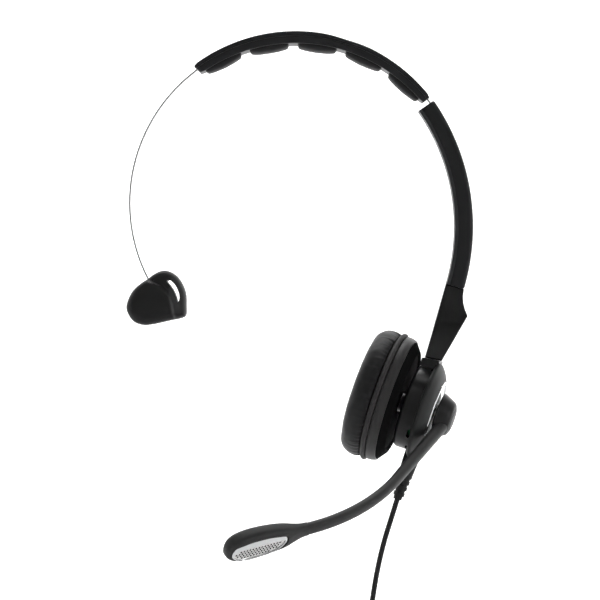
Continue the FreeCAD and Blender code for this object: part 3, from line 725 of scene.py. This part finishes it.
def makeCrown():
    sizes = {
        "topLeft": (-0.0433, -0.0090), "topMiddle": (0.0086, 0.0046), "topRight": (0.0557, -0.0222),
        "lowLeft": (-0.0400, -0.0121), "lowRight": (0.0523, -0.0245), "seam": 0.60, "gap": 0.00003,
        "centre": (-0.00055, -0.0689), "radius": 0.0690, "half": 0.0110, "endHalf": 0.0080,
        "dip": (0.0205, 0.0060, 0.00035), "stations": 120, "endStations": 2.0, "endInset": 0.0004,
        "corner": 0.0002, "topCorner": 0.0013, "lowCorner": 0.0007,
    }
    pads = {
        "count": 5, "half": 0.0095, "endHalf": 0.0070, "shoulder": 0.0008, "first": 116.2, "step": 16.9,
        "reach": 6.9, "sunk": 0.0004, "deep": 0.0026, "edge": 0.0014, "lumps": (3, 0.00008),
        "rows": 40, "columns": 24,
    }
    top = arcThrough(sizes["topLeft"], sizes["topMiddle"], sizes["topRight"])
    centre = Vector(sizes["centre"])
    low = (centre, sizes["radius"])
    stations = sizes["stations"]
    dipAt, dipWidth, dipDeep = sizes["dip"]
    cover, base = [], []
    for i in range(stations + 1):
        t = i / stations
        upper = onArc(top, sizes["topLeft"], sizes["topRight"], t)
        lower = onArc(low, sizes["lowLeft"], sizes["lowRight"], t)
        up = (upper - lower).normalized()
        upper = upper - up * dipDeep * math.exp(-((upper.x - dipAt) / dipWidth) ** 2)
        seam = lower.lerp(upper, sizes["seam"])
        inset = (1 - min(1.0, min(i, stations - i) / sizes["endStations"])) * sizes["endInset"]
        half = crownWidth(lower.x, sizes["half"], sizes["endHalf"]) - inset
        for rings, near, far, corner in (
                (cover, sizes["gap"], (upper - seam).length - inset, sizes["topCorner"]),
                (base, 0.0, inset - (seam - lower).length, sizes["lowCorner"])):
            profile = roundCorners([(-half, near), (-half, far, corner), (half, far, corner), (half, near)],
                                   sizes["corner"], 6)
            rings.append([Vector((seam.x + up.x * h, y, seam.y + up.y * h)) for y, h in profile])
    lofted("crownCover", cover, "headband", "crown_black", ["crown_cover"])
    lofted("crownBase", base, "headband", "crown_black", ["crown_base"])

    lumpSize, lumpHeight = pads["lumps"]
    for index in range(pads["count"]):
        middle = pads["first"] - pads["step"] * index
        rings = []
        for i in range(pads["rows"] + 1):
            u = -1 + 2 * i / pads["rows"]
            angle = math.radians(middle - pads["reach"] * u)
            ray = Vector((math.cos(angle), math.sin(angle)))
            spot = centre + ray * (sizes["radius"] + pads["sunk"])
            swell = pads["sunk"] + (pads["edge"] + (pads["deep"] - pads["edge"]) * (1 - u * u)) * (
                1 - abs(u) ** 20) ** 0.5
            half = crownWidth(spot.x, pads["half"], pads["endHalf"]) - pads["shoulder"] * abs(u) ** 8
            ring = [Vector((spot.x, half, spot.y)), Vector((spot.x, -half, spot.y))]
            for k in range(1, pads["columns"]):
                v = -math.cos(math.pi * k / pads["columns"])
                drop = swell * (1 - abs(v) ** 6) ** 0.5
                lump = noise.noise(Vector((u * lumpSize, v * lumpSize, index * 7.0))) * lumpHeight
                deep = spot - ray * max(0.0001, drop + lump)
                ring.append(Vector((deep.x, v * half, deep.y)))
            rings.append(ring)
        pad = lofted(f"crownPad{index + 1}", rings, "headband", "crown_pad", [f"crown_pad_{index + 1}"])


def makeArm():
    # A curved channel about the band's centre, with a mouth at its top for the steel strip
    sizes = {
        "inner": 0.0860, "outer": 0.0923, "half": 0.0070, "top": 34.8, "bottom": -16.6, "edge": 0.0021,
        "innerEdge": 0.0003, "endTrim": 0.00035, "stations": 130,
        "mouth": (0.0900, 0.0912, 0.0029), "mouthRings": 9, "mouthStep": 0.9,
    }

    def around(angle, profile):
        return [Vector((slideCentre.x + r * math.cos(angle), y, slideCentre.z + r * math.sin(angle)))
                for r, y in profile]

    rings = []
    count = sizes["stations"]
    for i in range(count + 1):
        angle = math.radians(sizes["top"] + (sizes["bottom"] - sizes["top"]) * i / count)
        trim = sizes["endTrim"] if i in (0, count) else 0.0
        inner, outer, half = sizes["inner"], sizes["outer"] - trim, sizes["half"] - trim
        rings.append(around(angle, roundCorners(
            [(inner, -half), (outer, -half, sizes["edge"]), (outer, half, sizes["edge"]), (inner, half)],
            sizes["innerEdge"], 7)))
    arm = lofted("armCover", rings, "arm", "arm_black", ["arm_cover"])
    low, high, half = sizes["mouth"]
    corners = ((low, -half), (high, -half), (high, half), (low, half))
    mouth = [around(math.radians(sizes["top"] + 1 - sizes["mouthStep"] * i), corners)
             for i in range(sizes["mouthRings"])]
    cut(arm, newObject("cutter", *loftMesh(mouth)))


def makeLink():
    sizes = {
        "outline": [(0.0622, -0.1003), (0.0661, -0.10145), (0.0699, -0.1026), (0.06945, -0.1055),
                    (0.0696, -0.1084), (0.0703, -0.1112), (0.0714, -0.1138), (0.0678, -0.1201),
                    (0.0642, -0.1264), (0.0606, -0.1327), (0.0571, -0.1320), (0.0535, -0.1312),
                    (0.0564, -0.1209), (0.0593, -0.1106)],
        "middle": (0.0628, -0.1160), "top": 0.0069, "waist": 0.0080, "foot": 0.0054, "edge": 0.0007,
        "topAt": -0.1003, "waistAt": -0.1154, "footAt": -0.1327,
    }
    topAt, waistAt, footAt = sizes["topAt"], sizes["waistAt"], sizes["footAt"]

    def depth(spot):
        # Half width at a height: widest at the waist
        if spot.y > waistAt:
            t = min(1.0, max(0.0, (topAt - spot.y) / (topAt - waistAt)))
            return sizes["top"] + (sizes["waist"] - sizes["top"]) * math.sin(math.pi / 2 * t)
        t = min(1.0, (waistAt - spot.y) / (waistAt - footAt))
        return sizes["waist"] - (sizes["waist"] - sizes["foot"]) * (1 - math.cos(math.pi / 2 * t))

    outline = []
    corners = sizes["outline"]
    for a, b in zip(corners, corners[1:] + corners[:1]):
        outline += [Vector(a).lerp(Vector(b), k / 8) for k in range(8)]
    link = plump("link", outline, Vector(sizes["middle"]), depth, sizes["edge"], "arm", "piano_black",
                 ["link_shell", "link_inner_cover"])
    link.data.set_sharp_from_angle(angle=math.radians(50))


makeCrown()
makeArm()
makeLink()
print("headband")


def makeTemplePad():
    sizes = {
        "outline": [(-0.0625, -0.0983), (-0.0658, -0.1006), (-0.0686, -0.1033), (-0.0706, -0.1070),
                    (-0.0713, -0.1105), (-0.0700, -0.1140), (-0.0676, -0.1165), (-0.0640, -0.1176),
                    (-0.0603, -0.1173), (-0.0535, -0.1158), (-0.0480, -0.1146), (-0.0464, -0.1131),
                    (-0.0463, -0.1092), (-0.0464, -0.1052), (-0.0474, -0.1016), (-0.0500, -0.0974),
                    (-0.0536, -0.0951), (-0.0566, -0.0949), (-0.0598, -0.0963)],
        "loop": [(-0.0544, -0.0993), (-0.0530, -0.1012), (-0.0516, -0.1034), (-0.0506, -0.1058),
                 (-0.0499, -0.1081), (-0.0492, -0.1068), (-0.0492, -0.1050), (-0.0498, -0.1030),
                 (-0.0506, -0.1013), (-0.0518, -0.0998), (-0.0532, -0.0988)],
        # Height, then where the thick pad gives way to the thin loop
        "step": [(-0.0990, -0.0632), (-0.1000, -0.0596), (-0.1011, -0.0571), (-0.1035, -0.0549),
                 (-0.1059, -0.0533), (-0.1090, -0.0523), (-0.1129, -0.0517), (-0.1180, -0.0505)],
        "middle": (-0.0592, -0.1075), "half": 0.0120, "edge": 0.0034, "crown": 0.0004, "stepWidth": 0.0018,
        "thin": 0.0066, "thicker": 0.0034, "loopSide": -0.0462, "loopWidth": 0.0070, "drill": 0.0140,
        "rim": 0.0006,
    }

    def depth(spot):
        # Half width: thin in the loop on the right, then a soft step up to the full pad
        across = sizes["step"][0][1] if spot.y > sizes["step"][0][0] else sizes["step"][-1][1]
        for (z, x), (lowZ, lowX) in zip(sizes["step"], sizes["step"][1:]):
            if lowZ < spot.y <= z:
                across = x + (lowX - x) * (z - spot.y) / (z - lowZ)
        t = min(1.0, max(0.0, (across + sizes["stepWidth"] / 2 - spot.x) / sizes["stepWidth"]))
        side = min(1.0, max(0.0, (sizes["loopSide"] - spot.x) / sizes["loopWidth"]))
        loop = sizes["thin"] + sizes["thicker"] * side
        return loop + (sizes["half"] - sizes["crown"] - loop) * (3 * t * t - 2 * t ** 3)

    pad = plump("templePad", curveLoop(sizes["outline"], 190), Vector(sizes["middle"]), depth, sizes["edge"],
                "temple", "temple_rubber", ["temple_pad"], sizes["crown"])
    cut(pad, prism(Matrix(), curveLoop(sizes["loop"], 66), -sizes["drill"], sizes["drill"]))
    bevel(pad, sizes["rim"], 3, 40)


makeTemplePad()
print("temple pad")


cordSizes = {
    "diameter": 0.0023, "length": 0.965, "turns": 11, "perTurn": 28, "perLayer": 3.667, "layers": 3,
    "centre": (0.0152, -0.0064, -0.2545), "outer": 0.01495, "step": 0.0023,
    "skipped": 3, "lastTurn": 0.86, "climb": 0.35, "hold": 0.1,
    "lead": [(0.0420, -0.0022, -0.1907), (0.0396, -0.0022, -0.1984), (0.0363, -0.0022, -0.2088),
             (0.0334, -0.0022, -0.2214), (0.0313, -0.0022, -0.2350)],
    "tail": [(0.0246, -0.0146, -0.2505), (0.0262, -0.0158, -0.2580), (0.0263, -0.0160, -0.2670),
             (0.0262, -0.0160, -0.2770)],
}


def coilPoints():
    # Three layers, wound clockwise as seen from the front, one cord width forwards each turn; the cord
    # climbs to the next layer in the last part of a layer's turns
    centre = Vector(cordSizes["centre"])
    perTurn, perLayer, climb = (cordSizes[key] for key in ("perTurn", "perLayer", "climb"))
    topLayer = cordSizes["layers"] - 1
    last = (cordSizes["turns"] - 1) * perTurn + int(perTurn * cordSizes["lastTurn"])
    points = []
    for i in range(cordSizes["skipped"], last):
        turn = i / perTurn
        layer = min(topLayer, int(turn / perLayer))
        within = turn - layer * perLayer
        ease = max(0.0, min(1.0, (within - (perLayer - climb)) / climb)) if layer < topLayer else 0.0
        radius = cordSizes["outer"] - cordSizes["step"] * (layer + ease)
        forward = min(within, perLayer - cordSizes["hold"]) / perLayer * 2 - 1
        side = forward if layer != 1 else -forward
        y = centre.y - side * 1.5 * cordSizes["step"]
        angle = -2 * math.pi * turn
        points.append(Vector((centre.x + radius * math.cos(angle), y, centre.z + radius * math.sin(angle))))
    return points


def makeCord():
    points = [Vector(p) for p in cordSizes["lead"]] + coilPoints() + [Vector(p) for p in cordSizes["tail"]]
    data = bpy.data.curves.new("cord", "CURVE")
    data.dimensions = "3D"
    line = data.splines.new("NURBS")
    line.points.add(len(points) - 1)
    for point, spot in zip(line.points, points):
        point.co = (*spot, 1)
    line.order_u = 3
    line.use_endpoint_u = True
    line.resolution_u = 6
    data.bevel_depth = cordSizes["diameter"] / 2
    data.bevel_resolution = 5
    cord = bpy.data.objects.new("cord", data)
    bpy.context.scene.collection.objects.link(cord)
    data.materials.append(finishes["cord_rubber"])
    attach(cord, "arm")
    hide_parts("cord_lead", "cord_coil", "cord_tail")
    return cord


cord = makeCord()
print("cord")
